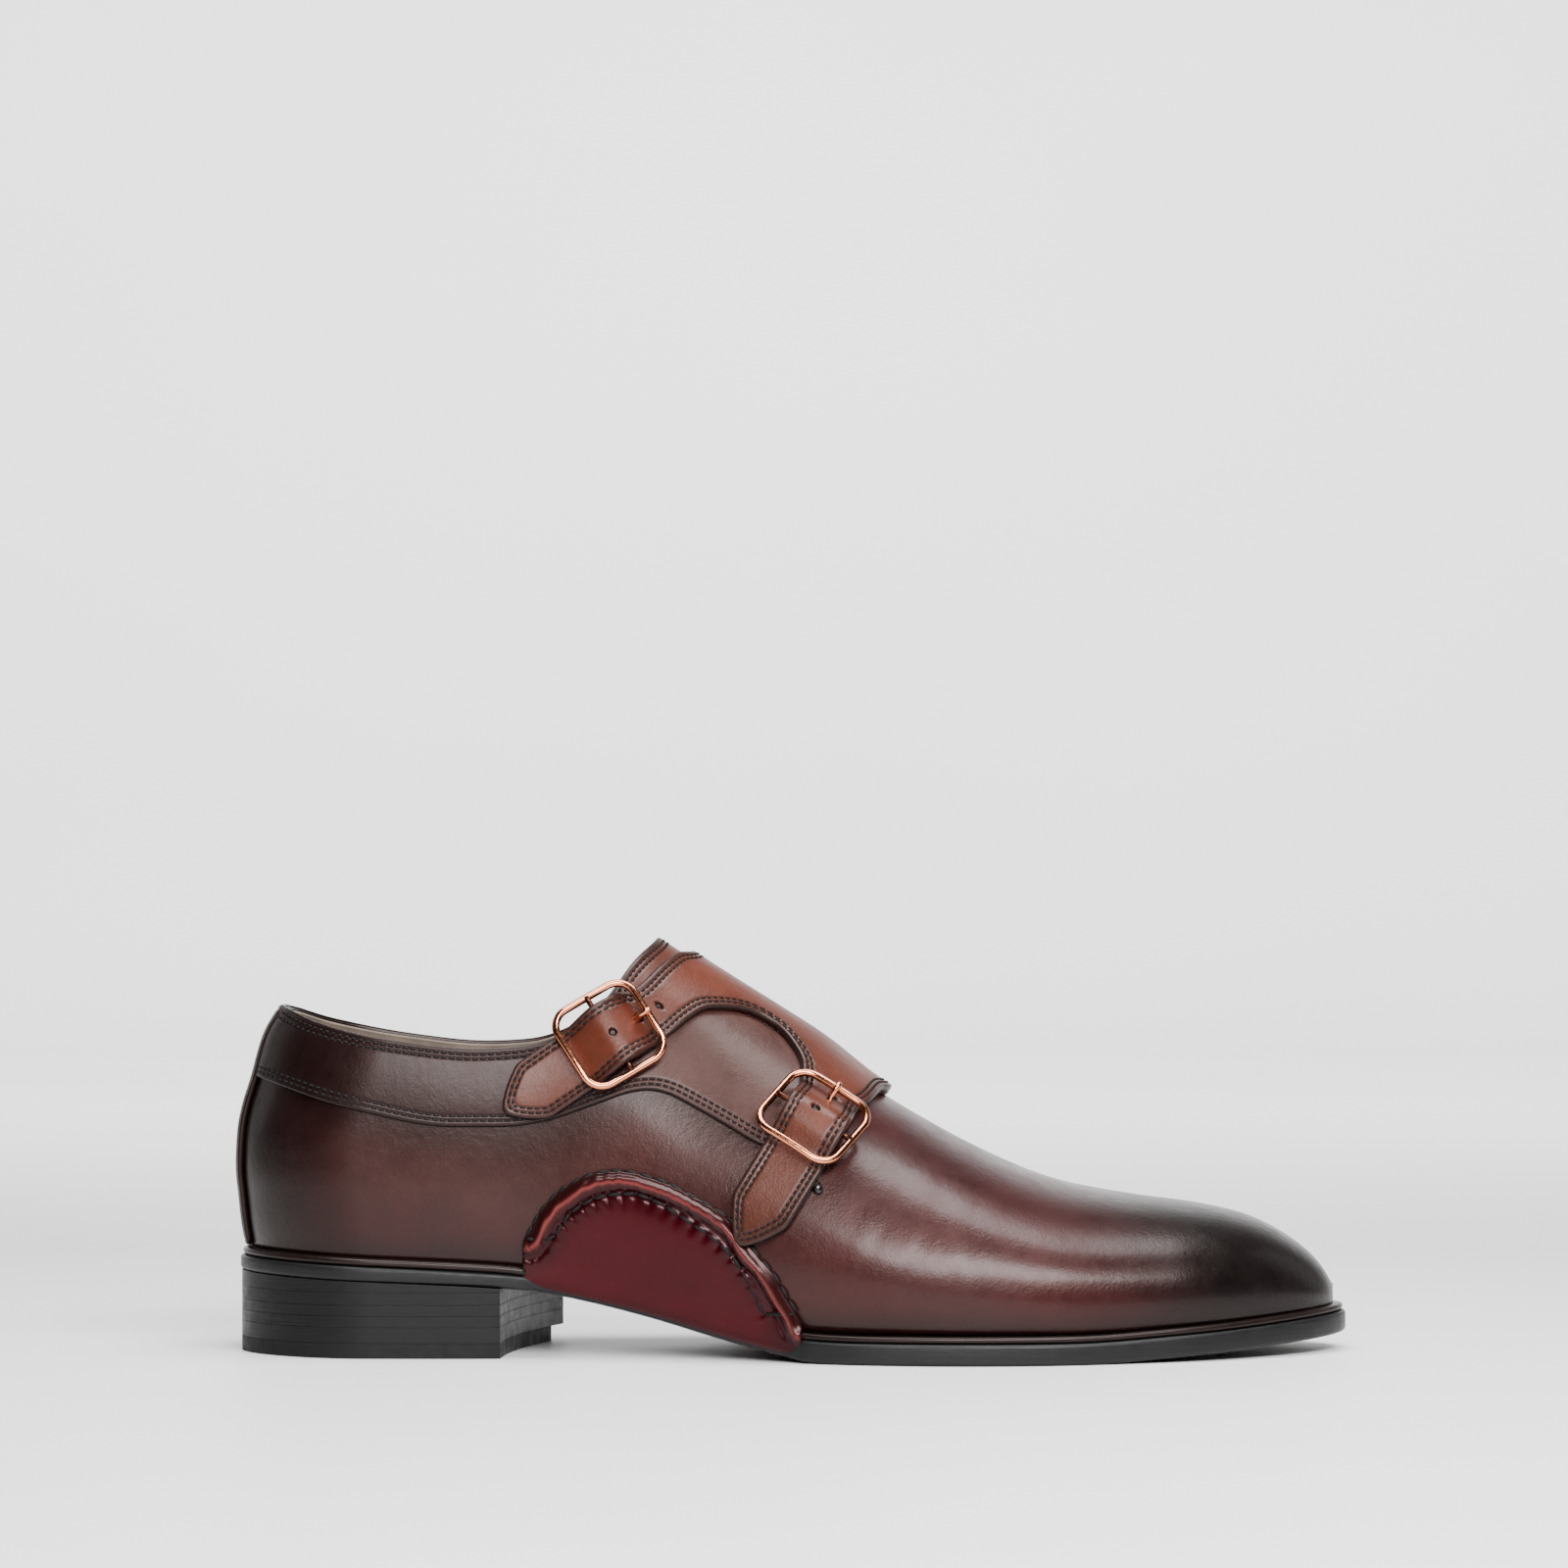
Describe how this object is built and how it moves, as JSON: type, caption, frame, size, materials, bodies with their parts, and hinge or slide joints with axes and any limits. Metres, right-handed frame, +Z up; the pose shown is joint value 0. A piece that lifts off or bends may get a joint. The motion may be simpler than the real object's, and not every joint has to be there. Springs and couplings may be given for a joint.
{
  "type": "monk strap shoe",
  "caption": "Right dress shoe with a buckled double monk strap flap, plain toe, raised hand-sewn waist and stacked heel with a cut medial corner.",
  "frame": {"origin": "middle of the heel's floor face", "axes": "+X to the toe, +Y to the medial side (the wearer's left), +Z up from the floor"},
  "size_m": [0.3048, 0.1077, 0.1119],
  "materials": {
    "outsole": "polished dark red calf at the waist, dull black edge elsewhere",
    "upper": "polished dark burgundy calf",
    "tongue": "chestnut brown calf",
    "insole": "grey-brown lining leather",
    "collar_panel_lateral": "dark brown burgundy calf",
    "collar_panel_medial": "dark brown burgundy calf",
    "backstay": "dark brown calf",
    "strap_flap": "chestnut brown calf with burnished edges",
    "welt": "dark brown waxed leather",
    "heel_rand": "dark brown waxed leather",
    "heel_lift_3": "black waxed stacked leather",
    "heel_lift_2": "black waxed stacked leather",
    "heel_lift_1": "black waxed stacked leather",
    "heel_top_piece": "black rubber",
    "buckle_frame_rear": "polished rose gold plate",
    "buckle_frame_front": "polished rose gold plate",
    "buckle_prong_rear": "polished rose gold plate",
    "buckle_prong_front": "polished rose gold plate"
  },
  "bodies": {
    "root": {"outsole": "outsole", "upper": "upper", "tongue": "tongue", "insole": "insole", "collar_panel_lateral": "collar_panel_lateral", "collar_panel_medial": "collar_panel_medial", "backstay": "backstay", "strap_flap": "strap_flap", "welt": "welt", "heel_rand": "heel_rand", "heel_lift_3": "heel_lift_3", "heel_lift_2": "heel_lift_2", "heel_lift_1": "heel_lift_1", "heel_top_piece": "heel_top_piece", "buckle_frame_rear": "buckle_frame_rear", "buckle_frame_front": "buckle_frame_front", "buckle_prong_rear": "buckle_prong_rear", "buckle_prong_front": "buckle_prong_front"}
  },
  "joints": []
}
